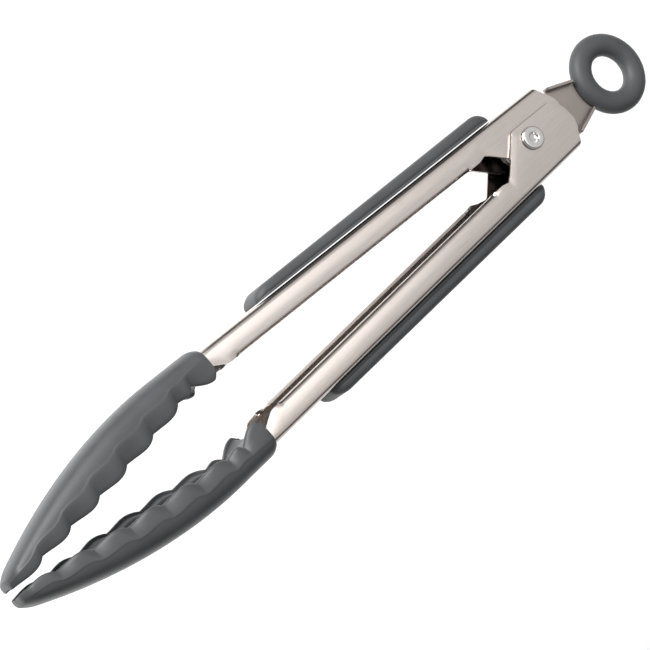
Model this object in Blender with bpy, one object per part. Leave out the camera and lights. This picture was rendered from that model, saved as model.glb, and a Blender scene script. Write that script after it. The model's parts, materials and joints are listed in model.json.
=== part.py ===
"""Spring loaded kitchen tongs, lying on one side, held shut by the pulled-out locking slider.

The world origin is on the pivot axis, on the plane that the tongs rest on: +Z runs along the pivot,
+X points from the pivot to the pull ring, and the jaws close across Y.
An arm is drawn in its own frame: x runs from the pivot to the jaw tip, y points away from the other arm,
and z runs along the pivot.
"""

import math

import bmesh
import bpy
from mathutils import Matrix, Vector

MM = 0.001
GAP = 0.3 * MM  # clearance between pieces that touch
PIVOT_HEIGHT = 9.1 * MM
ARM_TILT = math.radians(2.24)  # each arm's angle to the middle plane when the tongs are shut

# Formed steel arms
SHEET = 0.8 * MM
OUTER_HALF_WIDTH = 7.8 * MM
INNER_HALF_WIDTH = OUTER_HALF_WIDTH - SHEET - GAP
BACK = 10.6 * MM  # outer face of an arm's back, measured from the pivot axis
WALL_EDGE = 3.6 * MM
DEEP_WALL_EDGE = 2.5 * MM  # the outer arm's lower wall reaches further in
BACK_BEND = 1.8 * MM
BACK_BEND_STEPS = 4
LIP_BEND = 1.3 * MM
LIP_BEND_STEPS = 3
LIP_LENGTH = 1.2 * MM
WALL_TAIL = 2.4 * MM
EAR_CENTRE = (-6.6 * MM, 2.0 * MM)
EAR_RADIUS = 7.9 * MM
EAR_ARC = (136, 184)  # degrees of the round end, from the back to its rearmost point
EAR_STEPS = 8
EAR_UNDERSIDE = (7, 16, 25, 34, 42, 50)  # degrees further round, down to the straight lower edge
EAR_FRONT = 3.3 * MM
EAR_BOTTOM = -5.0 * MM
NOTCH_CORNER = (13.4 * MM, 3.6 * MM)
NOTCH_CREST = (14.4 * MM, 4.3 * MM)
NOTCH_END = 16.8 * MM
BACK_END = -10.6 * MM
LIP_SPAN = (21.5 * MM, 107.0 * MM)
LIP_RUN_OUT = 2.0 * MM
LIP_STEPS = 3
WALL_TAPER_START = 111.5 * MM
WALL_END = 118.0 * MM
WALL_STUB_EDGE = 6.9 * MM
TONGUE_START = 122.0 * MM
TONGUE_END = 140.0 * MM
TONGUE_HALF_WIDTH = 5.2 * MM
TONGUE_CORNER = 2.0 * MM
TONGUE_CORNER_INSET = 1.6 * MM
LEAST_WALL = 0.2 * MM  # straight wall left under the back's bend

# Pivot
RIVET_RADIUS = 1.5 * MM
RIVET_HEAD_RADIUS = 3.15 * MM
RIVET_HEAD_HEIGHT = 1.0 * MM
RIVET_DIMPLE_RADIUS = 1.35 * MM
RIVET_DIMPLE_DEPTH = 0.7 * MM
RIVET_DIMPLE_FLOOR = 1.08 * MM
RIVET_DIMPLE_SHOULDER = 0.24 * MM
RIVET_DIMPLE_ROUND = 0.3 * MM
RIVET_HEAD_ROUND = 0.35 * MM
SPACER_RADIUS = 2.6 * MM

# Torsion spring
WIRE_RADIUS = 0.5 * MM
COIL_RADIUS = 3.7 * MM
COIL_TURNS = 3.5
COIL_PITCH = 1.1 * MM
COIL_TOP = -1.25 * MM
LEG_REACH = 30.0 * MM
LEG_STEPS = 5
COIL_STEPS_PER_TURN = 16

# Locking slider and pull ring
SLIDER_TIP = 29.2 * MM
SLIDER_TAPER = 1.0 / 3.0
RING_CENTRE = 37.2 * MM
RING_MAJOR = 8.5 * MM
RING_SECTION = (3.2 * MM, 2.8 * MM)  # half width and half height
RING_STEPS = 32
RING_SIDES = 12
RING_TIP = math.radians(3.5)  # the ring's far side hangs down
SLIDER_SWING = math.radians(-1.1)  # the slider lies a little to the outer arm's side
NARROW_AT = 26.8 * MM
NARROW_HALF_WIDTH = 4.7 * MM
SHOULDER_AT = 17.5 * MM
HEAD_HALF_WIDTH = 8.7 * MM
HEAD_SPAN = (9.0 * MM, 12.0 * MM)
NECK_HALF_WIDTH = 4.9 * MM
NECK_END = 16.4 * MM
BODY_HALF_WIDTH = 5.4 * MM
BODY_END = -5.4 * MM
STROKE = 12.2 * MM
SLOT_END_STEPS = 10
FLANGE_HEIGHT = 2.4 * MM
FLANGE_TO_RING = 0.1 * MM
SLIDER_CORNER = 0.6 * MM
TAB_TIP_HALF_WIDTH = 3.1 * MM
RING_POCKET_MOUTH = 6.1 * MM
RING_POCKET_MIDDLE = 4.8 * MM
RING_POCKET_END = 3.5 * MM

# Grip pads on the backs of the arms
GRIP_SPAN = (4.9 * MM, 93.9 * MM)
GRIP_TOP = 14.7 * MM
GRIP_FALL = 0.6 * MM  # from the pivot end to the jaw end
GRIP_HALF_WIDTH = 6.0 * MM
GRIP_END_RADIUS = 5.0 * MM
GRIP_END_RISES = (8, 25, 45, 67, 90)  # degrees of the rounded end
GRIP_CORNER = 1.8 * MM
GRIP_CORNER_STEPS = 4
GRIP_CORNER_SHARE = 0.8  # of the height, where the pad is low
GRIP_END_NARROWING = 2.6 * MM
GRIP_TO_ARM_EDGE = 0.7 * MM
STUDS = (20.0 * MM, 52.0 * MM, 84.0 * MM)
STUD_RADIUS = 1.8 * MM
STUD_HEAD_RADIUS = 3.0 * MM
STUD_HEAD_HEIGHT = 1.2 * MM
STUD_HEAD_RIM = 0.5 * MM
STUD_HEAD_TAPER = 0.6 * MM
STUD_ROOT = 1.0 * MM

# Jaws
JAW_START = 116.7 * MM
JAW_END = 193.4 * MM
JAW_HALF_WIDTH = 9.0 * MM
JAW_TIP_HALF_WIDTH = 5.8 * MM
JAW_TAPER_START = 140.0 * MM
JAW_CROWN = 12.6 * MM
CROWN_FALL_START = 130.0 * MM
CROWN_FALL = 0.0052  # mm of fall for each mm of run, raised to the power below
CROWN_FALL_POWER = 1.93
CROWN_SHARPNESS = 0.62  # 1 is an ellipse, and lower is boxier
FLOOR_SHARPNESS = 0.7
FIRST_VALLEY = 124.5 * MM
SECOND_VALLEY = 130.0 * MM
LOBE_PITCH = 10.6 * MM
LOBE_DEPTH = 1.15 * MM
LOBE_POWER = 0.85
LOBE_SKEW = 0.64  # below 1 puts a lobe's lowest point nearer the pivot
STEPS_PER_LOBE = 5
FIRST_LOBE_STEPS = 3
CUFF_STEPS = 5
LEAST_STEP = 0.3  # of an even step, so that no two stations crowd
VALLEY_EDGE = 4.6 * MM  # height of the second valley
VALLEY_SLOPE = 0.17
CUFF_LOBE = 3.9 * MM
CUFF_LOBE_POWER = 1.1
# one wall of a jaw is long and the other short, and the long wall of each jaw meets the short one opposite
WALL_OFFSET = 1.0 * MM
WALL_OFFSET_RISE = (118.0 * MM, 140.0 * MM)
WALL_OFFSET_FALL = (156.0 * MM, 188.0 * MM)
CUFF_ROUND = 0.7 * MM
CUFF_ROUND_LENGTH = 2.0 * MM
TIP_ROUND = 2.4 * MM
TIP_ROUND_LENGTH = 4.0 * MM
HEIGHT_SHARE = 0.3  # of a rounding that the other direction takes
LEAST_EDGE = 0.4 * MM
LEAST_TIP_WALL = 0.8 * MM
INNERMOST_EDGE = -6.65 * MM
TIP_TROUGH_DEPTH = 0.7 * MM
CUFF_FLOOR = 4.9 * MM
CUFF_END = 122.5 * MM
CUFF_RUN_OUT = 5.0 * MM
SKIN = 1.0 * MM
CORE_THICKNESS = 1.2 * MM
CORE_START = 123.0 * MM
CORE_END = 187.0 * MM
CORE_TOP = BACK - SHEET - GAP
CORE_EDGE_INSET = 2.2 * MM
LEAST_CORE_WALL = 0.8 * MM
CORE_RIVETS = (127.5 * MM, 135.0 * MM)
CORE_RIVET_RADIUS = 1.1 * MM
CORE_RIVET_HEAD = 2.2 * MM
CORE_RIVET_HEAD_HEIGHT = 0.7 * MM
CORE_RIVET_RIM = 0.28 * MM
CORE_RIVET_CHAMFER = 0.4 * MM
POCKET_OVERRUN = 2.0 * MM  # how far outside the cuff its cutters start
POCKET_STEP = 0.02 * MM  # keeps one pocket's face off another's

ROUND_SIDES = 28
POST_SIDES = 14
SHARP_ANGLE = math.radians(35)
MERGE_DISTANCE = 0.0001 * MM


# ---------------------------------------------------------------- scene helpers

def clear_scene():
    for obj in list(bpy.data.objects):
        bpy.data.objects.remove(obj, do_unlink=True)


def make_material(name, colour, roughness, metallic=0.0):
    material = bpy.data.materials.new(name)
    material.use_nodes = True
    shader = material.node_tree.nodes["Principled BSDF"]
    shader.inputs["Base Color"].default_value = (*colour, 1.0)
    shader.inputs["Roughness"].default_value = roughness
    shader.inputs["Metallic"].default_value = metallic
    return material


def object_from(name, bm, material=None, parent=None, smooth=True):
    """Closes the bmesh, makes it an object with outward faces, and parents it."""
    bmesh.ops.remove_doubles(bm, verts=bm.verts, dist=MERGE_DISTANCE)
    bmesh.ops.recalc_face_normals(bm, faces=bm.faces)
    mesh = bpy.data.meshes.new(name)
    bm.to_mesh(mesh)
    bm.free()
    if smooth:
        mesh.shade_smooth()
        mesh.set_sharp_from_angle(angle=SHARP_ANGLE)
    obj = bpy.data.objects.new(name, mesh)
    bpy.context.scene.collection.objects.link(obj)
    if material:
        mesh.materials.append(material)
    obj.parent = parent
    return obj


def add_loft(bm, rings):
    """Skins a row of equal rings of 3-D points and caps both ends."""
    rows = [[bm.verts.new(point) for point in ring] for ring in rings]
    count = len(rings[0])
    for first, second in zip(rows, rows[1:]):
        for i in range(count):
            j = (i + 1) % count
            bm.faces.new((first[i], first[j], second[j], second[i]))
    bm.faces.new(rows[0])
    bm.faces.new(rows[-1])


def add_prism(bm, outline, low, high):
    """Extrudes an (x, y) outline along z."""
    add_loft(bm, [[(x, y, z) for x, y in outline] for z in (low, high)])


def circle(centre, radius, sides=ROUND_SIDES):
    turns = [2 * math.pi * i / sides for i in range(sides)]
    return [(centre[0] + radius * math.cos(t), centre[1] + radius * math.sin(t)) for t in turns]


def add_post(bm, x, radius, low, high):
    """A round post along the arm's y axis at the given x."""
    rim = circle((x, 0.0), radius, POST_SIDES)
    add_loft(bm, [[(px, y, pz) for px, pz in rim] for y in (low, high)])


def add_box(bm, low, high):
    corners = [(low[0], low[1]), (high[0], low[1]), (high[0], high[1]), (low[0], high[1])]
    add_prism(bm, corners, low[2], high[2])


def helper_from(name, bm, parent):
    """A cutter or tool body for a Boolean: it isn't rendered."""
    obj = object_from(name, bm, parent=parent, smooth=False)
    obj.hide_render = True
    obj.display_type = "WIRE"
    return obj


def boolean(obj, other, operation="DIFFERENCE", solver="EXACT"):
    """MANIFOLD is for the formed sheet and the jaws, where EXACT leaves open edges."""
    modifier = obj.modifiers.new(other.name, "BOOLEAN")
    modifier.object = other
    modifier.operation = operation
    modifier.solver = solver


def hinge_frame(name, side):
    """The empty that an arm hangs from: side +1 is the arm at +Y, -1 the arm at -Y."""
    cosine = math.cos(ARM_TILT)
    sine = math.sin(ARM_TILT)
    turn = Matrix(((-cosine, sine, 0.0), (side * sine, side * cosine, 0.0), (0.0, 0.0, -side)))
    frame = bpy.data.objects.new(name, None)
    frame.location = (0.0, 0.0, PIVOT_HEIGHT)
    frame.rotation_euler = turn.to_euler()
    bpy.context.scene.collection.objects.link(frame)
    return frame


# ---------------------------------------------------------------- steel arms

def arc(centre, radius, start, end, steps):
    angles = [math.radians(start + (end - start) * i / steps) for i in range(steps + 1)]
    return [(centre[0] + radius * math.cos(t), centre[1] + radius * math.sin(t)) for t in angles]


def channel_path(half_width, wall_edge, lip):
    """Half of the sheet's middle line across the arm: (z, y) points from the back's centre to the edge.

    lip runs from 0, where the wall ends straight, to 1, where its edge turns in as a lip.
    """
    half_sheet = SHEET / 2
    bend = BACK_BEND - half_sheet
    path = [(0.0, BACK - half_sheet)]
    path += arc((half_width - BACK_BEND, BACK - BACK_BEND), bend, 90, 0, BACK_BEND_STEPS)
    tail_top = min(wall_edge + WALL_TAIL, BACK - BACK_BEND - LEAST_WALL)
    path.append((half_width - half_sheet, tail_top))
    lip_centre = (half_width - LIP_BEND, wall_edge + LIP_BEND)
    bent = arc(lip_centre, LIP_BEND - half_sheet, 0, -90, LIP_BEND_STEPS)
    bent.append((half_width - LIP_BEND - LIP_LENGTH, wall_edge + half_sheet))
    for i, (z, y) in enumerate(bent):
        share = (i + 1) / len(bent)
        straight_y = tail_top + (wall_edge - tail_top) * share
        straight_z = half_width - half_sheet
        path.append((straight_z + (z - straight_z) * lip, straight_y + (y - straight_y) * lip))
    return path


def flat_path(half_width, count):
    return [(half_width * i / (count - 1), BACK - SHEET / 2) for i in range(count)]


def sheet_ring(x, half_path, other_half=None):
    """A closed ring round the sheet at x, half a sheet either side of its middle line."""
    whole = [(-z, y) for z, y in reversed((other_half or half_path)[1:])] + half_path
    outside = []
    inside = []
    for i, (z, y) in enumerate(whole):
        before = whole[max(i - 1, 0)]
        after = whole[min(i + 1, len(whole) - 1)]
        along = Vector((after[0] - before[0], after[1] - before[1])).normalized()
        normal = Vector((-along.y, along.x)) * SHEET / 2
        outside.append((x, y + normal.y, z + normal.x))
        inside.append((x, y - normal.y, z - normal.x))
    return outside + inside[::-1]


def ear_edge():
    """(x, lowest y) of the ear's outline, from its round end to the wall's straight edge."""
    lower_arc = [
        (EAR_CENTRE[0] - EAR_RADIUS * math.cos(turn), EAR_CENTRE[1] - EAR_RADIUS * math.sin(turn))
        for turn in map(math.radians, EAR_UNDERSIDE)
    ]
    # the edge past the pivot, the slanting side of the notch, and the step up to the wall
    return [*lower_arc, (EAR_FRONT, EAR_BOTTOM), NOTCH_CORNER, NOTCH_CREST, (NOTCH_END, WALL_EDGE)]


def make_arm(name, half_width, lower_edge, material, parent):
    """lower_edge is the free edge of the wall at the arm's -z."""
    def walls(x, lip):
        upper = channel_path(half_width, WALL_EDGE, lip)
        return sheet_ring(x, upper, channel_path(half_width, lower_edge, lip))
    rings = [sheet_ring(x, channel_path(half_width, y, 0.0)) for x, y in ear_edge()]
    rings.append(walls(LIP_SPAN[0] - LIP_RUN_OUT, 0.0))
    for i in range(LIP_STEPS + 1):
        rings.append(walls(LIP_SPAN[0] + (LIP_SPAN[1] - LIP_SPAN[0]) * i / LIP_STEPS, 1.0))
    rings.append(walls(LIP_SPAN[1] + LIP_RUN_OUT, 0.0))
    rings.append(walls(WALL_TAPER_START, 0.0))
    wall_stub = channel_path(half_width, WALL_STUB_EDGE, 0.0)
    rings.append(sheet_ring(WALL_END, wall_stub))
    tongue = flat_path(TONGUE_HALF_WIDTH, len(wall_stub))
    rings.append(sheet_ring(TONGUE_START, tongue))
    rings.append(sheet_ring(TONGUE_END - TONGUE_CORNER, tongue))
    tongue_tip = flat_path(TONGUE_HALF_WIDTH - TONGUE_CORNER_INSET, len(wall_stub))
    rings.append(sheet_ring(TONGUE_END, tongue_tip))
    bm = bmesh.new()
    add_loft(bm, rings)
    arm = object_from(name, bm, material, parent)

    cutter = bmesh.new()
    past_end = EAR_CENTRE[0] - 2 * EAR_RADIUS
    above = 2 * BACK
    round_end = arc(EAR_CENTRE, EAR_RADIUS, *EAR_ARC, EAR_STEPS)
    outline = [(BACK_END, above), (BACK_END, BACK), *round_end]
    outline += [(past_end, round_end[-1][1]), (past_end, above)]
    add_prism(cutter, outline, -2 * half_width, 2 * half_width)
    add_prism(cutter, circle((0.0, 0.0), RIVET_RADIUS + GAP), -2 * half_width, 2 * half_width)
    for x in STUDS:
        add_post(cutter, x, STUD_RADIUS + GAP, BACK - 2 * SHEET, BACK + SHEET)
    for x in CORE_RIVETS:
        add_post(cutter, x, CORE_RIVET_RADIUS + GAP, BACK - 2 * SHEET, BACK + SHEET)
    boolean(arm, helper_from(name + "_holes", cutter, parent), solver="MANIFOLD")
    return arm


# ---------------------------------------------------------------- turned pieces and the spring

def make_turned(name, profile, material, parent=None):
    """Turns (radius, z) points, top to bottom down the outside, about the pivot axis."""
    bm = bmesh.new()
    verts = [bm.verts.new((radius, 0.0, z)) for radius, z in profile]
    edges = [bm.edges.new(pair) for pair in zip(verts, verts[1:])]
    full_turn = 2 * math.pi
    bmesh.ops.spin(
        bm, geom=verts + edges, axis=(0, 0, 1), cent=(0, 0, 0), steps=ROUND_SIDES, angle=full_turn,
        use_merge=True,
    )
    obj = object_from(name, bm, material, parent)
    obj.location = (0.0, 0.0, PIVOT_HEIGHT)
    return obj


def make_pivot(steel):
    under = OUTER_HALF_WIDTH + GAP
    top = under + RIVET_HEAD_HEIGHT
    edge = RIVET_HEAD_ROUND
    rivet = [
        (0.0, top - RIVET_DIMPLE_DEPTH),
        (RIVET_DIMPLE_FLOOR, top - RIVET_DIMPLE_DEPTH),
        (RIVET_DIMPLE_RADIUS, top - RIVET_DIMPLE_SHOULDER),
        (RIVET_DIMPLE_RADIUS + RIVET_DIMPLE_ROUND, top),
        (RIVET_HEAD_RADIUS - edge, top),
        (RIVET_HEAD_RADIUS, top - edge),
        (RIVET_HEAD_RADIUS, under),
        (RIVET_RADIUS, under),
        (RIVET_RADIUS, -under),
        (RIVET_HEAD_RADIUS, -under),
        (RIVET_HEAD_RADIUS, -top + edge),
        (RIVET_HEAD_RADIUS - edge, -top),
        (0.0, -top),
    ]
    make_turned("pivot_rivet", rivet, steel)
    reach = INNER_HALF_WIDTH - SHEET - GAP
    bore = RIVET_RADIUS + GAP
    sleeve = [(bore, reach), (SPACER_RADIUS, reach), (SPACER_RADIUS, -reach), (bore, -reach)]
    sleeve.append(sleeve[0])
    make_turned("pivot_spacer", sleeve, steel)


def tube_along(bm, points, radius, sides=8):
    """A round tube with flat ends along a row of points, framed by the pivot axis."""
    rings = []
    for i, point in enumerate(points):
        along = (points[min(i + 1, len(points) - 1)] - points[max(i - 1, 0)]).normalized()
        across = along.cross(Vector((0, 0, 1))).normalized()
        up = across.cross(along)
        angles = [2 * math.pi * k / sides for k in range(sides)]
        rings.append([point + across * math.cos(t) * radius + up * math.sin(t) * radius for t in angles])
    add_loft(bm, rings)


def spring_leg(side, z):
    """From the coil to the inner face of one arm's back, in world X and Y about the pivot."""
    cosine = math.cos(ARM_TILT)
    sine = math.sin(ARM_TILT)
    tilt = Matrix(((-cosine, sine), (side * sine, side * cosine)))
    rest = BACK - SHEET - GAP - WIRE_RADIUS
    start = tilt @ Vector((0.0, COIL_RADIUS))
    end = tilt @ Vector((LEG_REACH, rest))
    return [Vector((*start.lerp(end, i / LEG_STEPS), z)) for i in range(1, LEG_STEPS + 1)]


def make_spring(steel):
    """Both legs leave the coil towards the jaws, one along each arm's back."""
    # the wire's angle round the pivot runs from the +Y arm's leg, past the ring side, to the -Y arm's leg
    first = math.pi / 2 - ARM_TILT
    sweep = 2 * ARM_TILT - 2 * math.pi * COIL_TURNS
    steps = int(COIL_STEPS_PER_TURN * COIL_TURNS)
    coil = []
    for i in range(steps + 1):
        turn = first + sweep * i / steps
        z = COIL_TOP - COIL_PITCH * COIL_TURNS * i / steps
        coil.append(Vector((COIL_RADIUS * math.cos(turn), COIL_RADIUS * math.sin(turn), z)))
    path = spring_leg(1, coil[0].z)[::-1] + coil + spring_leg(-1, coil[-1].z)
    bm = bmesh.new()
    tube_along(bm, path, WIRE_RADIUS)
    obj = object_from("torsion_spring", bm, steel)
    obj.location = (0.0, 0.0, PIVOT_HEIGHT)


# ---------------------------------------------------------------- locking slider and pull ring

def slider_half_width(x):
    return NARROW_HALF_WIDTH + (NARROW_AT - x) * SLIDER_TAPER


def make_slider(steel, parent):
    """A flat plate with a slot for the pivot, a lock head, and a tapered tab with turned-up edges."""
    shoulder = slider_half_width(SHOULDER_AT)
    head_start, head_end = HEAD_SPAN
    corner = SLIDER_CORNER
    side = [
        (BODY_END, BODY_HALF_WIDTH - corner),
        (BODY_END + corner, BODY_HALF_WIDTH),
        (head_start - corner, BODY_HALF_WIDTH),
        (head_start, HEAD_HALF_WIDTH),
        (head_end - corner, HEAD_HALF_WIDTH),
        (head_end + corner, NECK_HALF_WIDTH),
        (NECK_END, NECK_HALF_WIDTH),
        (SHOULDER_AT, shoulder - SHEET / 2),
        (NARROW_AT, NARROW_HALF_WIDTH - SHEET / 2),
        (SLIDER_TIP, TAB_TIP_HALF_WIDTH),
    ]
    outline = side + [(x, -y) for x, y in reversed(side)]
    bm = bmesh.new()
    add_prism(bm, outline, -SHEET / 2, SHEET / 2)
    slider = object_from("lock_slider", bm, steel, parent)

    slot = bmesh.new()
    clear = SPACER_RADIUS + GAP
    ends = arc((0.0, 0.0), clear, 90, 270, SLOT_END_STEPS)
    ends += arc((STROKE, 0.0), clear, 270, 450, SLOT_END_STEPS)
    add_prism(slot, ends, -SHEET, SHEET)
    boolean(slider, helper_from("lock_slider_slot", slot, parent))

    flange_ends = (SHOULDER_AT, RING_CENTRE - RING_MAJOR - RING_SECTION[0] + FLANGE_TO_RING)
    for sign in (1, -1):
        flange = bmesh.new()
        outer = [(x, sign * slider_half_width(x)) for x in flange_ends]
        inner = [(x, y - sign * SHEET) for x, y in reversed(outer)]
        add_prism(flange, outer + inner, -SHEET / 2, FLANGE_HEIGHT)
        name = "lock_slider_flange_" + ("left" if sign > 0 else "right")
        boolean(slider, helper_from(name, flange, parent), "UNION")
    return slider


def make_ring(silicone, parent):
    """A round pull ring with a pocket for the end of the slider."""
    bm = bmesh.new()
    half_width, half_height = RING_SECTION
    tip = Matrix.Rotation(RING_TIP, 3, "Y")
    centre = Vector((RING_CENTRE, 0.0, 0.0))
    rows = []
    for i in range(RING_STEPS):
        turn = 2 * math.pi * i / RING_STEPS
        row = []
        for k in range(RING_SIDES):
            tube = 2 * math.pi * k / RING_SIDES
            reach = RING_MAJOR + half_width * math.cos(tube)
            level = Vector((reach * math.cos(turn), reach * math.sin(turn), half_height * math.sin(tube)))
            row.append(bm.verts.new(centre + tip @ level))
        rows.append(row)
    for i in range(RING_STEPS):
        for k in range(RING_SIDES):
            first = rows[i]
            second = rows[(i + 1) % RING_STEPS]
            m = (k + 1) % RING_SIDES
            bm.faces.new((first[k], first[m], second[m], second[k]))
    ring = object_from("pull_ring", bm, silicone, parent)

    pocket = bmesh.new()
    outside = RING_CENTRE - RING_MAJOR - 2 * half_width
    depth = SLIDER_TIP + GAP
    outline = [(outside, RING_POCKET_MOUTH), (NARROW_AT, RING_POCKET_MIDDLE), (depth, RING_POCKET_END)]
    outline += [(x, -y) for x, y in reversed(outline)]
    add_prism(pocket, outline, -SHEET / 2 - GAP, SHEET / 2 + GAP)
    boolean(ring, helper_from("pull_ring_pocket", pocket, parent))
    return ring


# ---------------------------------------------------------------- grip pads

def grip_ring(x, low, high, half_width):
    """A flat-bottomed section with rounded top corners."""
    corner = min(GRIP_CORNER, GRIP_CORNER_SHARE * (high - low))
    top = arc((half_width - corner, high - corner), corner, 0, 90, GRIP_CORNER_STEPS)
    half = [(half_width, low), *top]
    section = half + [(-z, y) for z, y in reversed(half)]
    return [(x, y, z) for z, y in section]


def make_grip(name, half_width, material, parent):
    low = BACK + GAP
    rings = []
    rises = [math.radians(degrees) for degrees in GRIP_END_RISES]
    start, end = GRIP_SPAN
    ends = ((start, 1, GRIP_TOP, rises), (end, -1, GRIP_TOP - GRIP_FALL, rises[::-1]))
    for edge, direction, top, turns in ends:
        for turn in turns:
            inward = GRIP_END_RADIUS * (1 - math.cos(turn))
            narrow = GRIP_END_NARROWING * (1 - math.sin(turn))
            level = low + (top - low) * math.sin(turn)
            rings.append(grip_ring(edge + direction * inward, low, level, half_width - narrow))
    bm = bmesh.new()
    add_loft(bm, rings)
    grip = object_from(name, bm, material, parent)

    studs = bmesh.new()
    under_back = BACK - SHEET - GAP
    for x in STUDS:
        levels = (
            (STUD_HEAD_RADIUS - STUD_HEAD_TAPER, under_back - STUD_HEAD_HEIGHT),
            (STUD_HEAD_RADIUS, under_back - STUD_HEAD_RIM),
            (STUD_HEAD_RADIUS, under_back),
            (STUD_RADIUS, under_back),
            (STUD_RADIUS, low + STUD_ROOT),
        )
        rows = []
        for radius, y in levels:
            rows.append([(px, y, pz) for px, pz in circle((x, 0.0), radius, POST_SIDES)])
        add_loft(studs, rows)
    boolean(grip, helper_from(name + "_studs", studs, parent), "UNION")
    return grip


# ---------------------------------------------------------------- jaws

def jaw_crown(x):
    """Outer height of the jaw's back over the arm's frame."""
    fall = max(x - CROWN_FALL_START, 0.0) / MM
    return JAW_CROWN - CROWN_FALL * fall ** CROWN_FALL_POWER * MM


def lobe_depth(x):
    """How far the free edge stands below the line through the valleys: a big lobe at the cuff, then small."""
    if x < FIRST_VALLEY:
        share = (FIRST_VALLEY - x) / (FIRST_VALLEY - JAW_START)
        return CUFF_LOBE * math.sin(math.pi / 2 * share) ** CUFF_LOBE_POWER
    if x < SECOND_VALLEY:
        share = (x - FIRST_VALLEY) / (SECOND_VALLEY - FIRST_VALLEY)
    else:
        share = (x - SECOND_VALLEY) / LOBE_PITCH % 1.0
    return LOBE_DEPTH * abs(math.sin(math.pi * share ** LOBE_SKEW)) ** LOBE_POWER


def ramp(x, span):
    share = min(max((x - span[0]) / (span[1] - span[0]), 0.0), 1.0)
    return share * share * (3 - 2 * share)


def jaw_edges(x):
    """Heights of the scalloped free edges: the short wall's at +z, then the long wall's at -z."""
    middle = VALLEY_EDGE - VALLEY_SLOPE * (x - SECOND_VALLEY) - lobe_depth(x)
    offset = WALL_OFFSET * ramp(x, WALL_OFFSET_RISE) * (1 - ramp(x, WALL_OFFSET_FALL))
    return [max(middle + offset, INNERMOST_EDGE), max(middle - offset, INNERMOST_EDGE)]


def jaw_half_width(x):
    share = max(x - JAW_TAPER_START, 0.0) / (JAW_END - JAW_TAPER_START)
    return JAW_HALF_WIDTH - (JAW_HALF_WIDTH - JAW_TIP_HALF_WIDTH) * share ** 2


def core_top(x):
    return min(CORE_TOP, jaw_crown(x) - SKIN - GAP)


def jaw_floor(x):
    """Bottom of the trough: thicker in the cuff, where the arm's side walls run in."""
    under_core = core_top(x) - CORE_THICKNESS - GAP - SKIN
    rise = min(max((x - CUFF_END) / CUFF_RUN_OUT, 0.0), 1.0)
    return max(CUFF_FLOOR + (under_core - CUFF_FLOOR) * rise, INNERMOST_EDGE + TIP_TROUGH_DEPTH)


def trough_ring(x, half_width, crown, edges, wall, floor, steps=9):
    """A trough section open towards the other arm: boxy curves outside and inside, flat free edges.

    edges are the heights of the free edges at +z and at -z.
    """
    def bow(width, height, sharpness):
        points = []
        for i in range(steps + 1):
            turn = math.pi * i / steps
            edge = edges[0] if i <= steps // 2 else edges[1]
            z = math.copysign(abs(math.cos(turn)) ** sharpness, math.cos(turn)) * width
            points.append((x, edge + (height - edge) * math.sin(turn) ** sharpness, z))
        return points
    outside = bow(half_width, crown, CROWN_SHARPNESS)
    inside = bow(half_width - wall, floor, FLOOR_SHARPNESS)
    return outside + inside[::-1]


def jaw_stations(start, end):
    """Places along the jaw: every valley, and even steps between them."""
    step = LOBE_PITCH / STEPS_PER_LOBE
    cuff_step = (FIRST_VALLEY - JAW_START) / CUFF_STEPS
    cuff = [JAW_START + cuff_step * i for i in range(CUFF_STEPS + 1)]
    first_step = (SECOND_VALLEY - FIRST_VALLEY) / FIRST_LOBE_STEPS
    first_lobe = [FIRST_VALLEY + first_step * i for i in range(1, FIRST_LOBE_STEPS)]
    lobes = [SECOND_VALLEY + step * i for i in range(int((end - SECOND_VALLEY) / step) + 1)]
    clear = LEAST_STEP * step
    return [start, *(x for x in cuff + first_lobe + lobes if start + clear < x < end - clear), end]


def make_jaw(name, arm_half_width, material, parent):
    wall = 2 * SKIN + CORE_THICKNESS + 2 * GAP
    rings = []
    for x in jaw_stations(JAW_START, JAW_END):
        cuff = CUFF_ROUND * max(1.0 - (x - JAW_START) / CUFF_ROUND_LENGTH, 0.0) ** 2
        tip = TIP_ROUND * max(1.0 - (JAW_END - x) / TIP_ROUND_LENGTH, 0.0) ** 2
        half_width = jaw_half_width(x) - tip - HEIGHT_SHARE * cuff
        crown = jaw_crown(x) - cuff - HEIGHT_SHARE * tip
        floor = jaw_floor(x)
        edges = [min(edge, floor - LEAST_EDGE) for edge in jaw_edges(x)]
        side = min(wall, half_width - LEAST_TIP_WALL)
        rings.append(trough_ring(x, half_width, crown, edges, side, floor))
    bm = bmesh.new()
    add_loft(bm, rings)
    jaw = object_from(name, bm, material, parent)

    pocket = bmesh.new()
    outside = JAW_START - POCKET_OVERRUN
    top = BACK + GAP
    low_wall = CUFF_FLOOR + SKIN
    arm_reach = arm_half_width + GAP
    add_box(pocket, (outside, low_wall, -arm_reach), (TONGUE_START + GAP, top, arm_reach))
    boolean(jaw, helper_from(name + "_arm_pocket", pocket, parent), solver="MANIFOLD")
    tongue = bmesh.new()
    reach = TONGUE_HALF_WIDTH + GAP
    add_box(tongue, (outside, CORE_TOP - GAP, -reach), (TONGUE_END + GAP, top - POCKET_STEP, reach))
    boolean(jaw, helper_from(name + "_tongue_pocket", tongue, parent), solver="MANIFOLD")
    heads = bmesh.new()
    for x in CORE_RIVETS:
        add_post(heads, x, CORE_RIVET_HEAD + GAP, CORE_TOP, top + CORE_RIVET_HEAD_HEIGHT + GAP)
    boolean(jaw, helper_from(name + "_rivet_pockets", heads, parent), solver="MANIFOLD")
    space = bmesh.new()
    add_loft(space, [core_ring(x, GAP) for x in jaw_stations(TONGUE_START, CORE_END + GAP)])
    boolean(jaw, helper_from(name + "_core_space", space, parent), solver="MANIFOLD")
    return jaw


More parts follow.
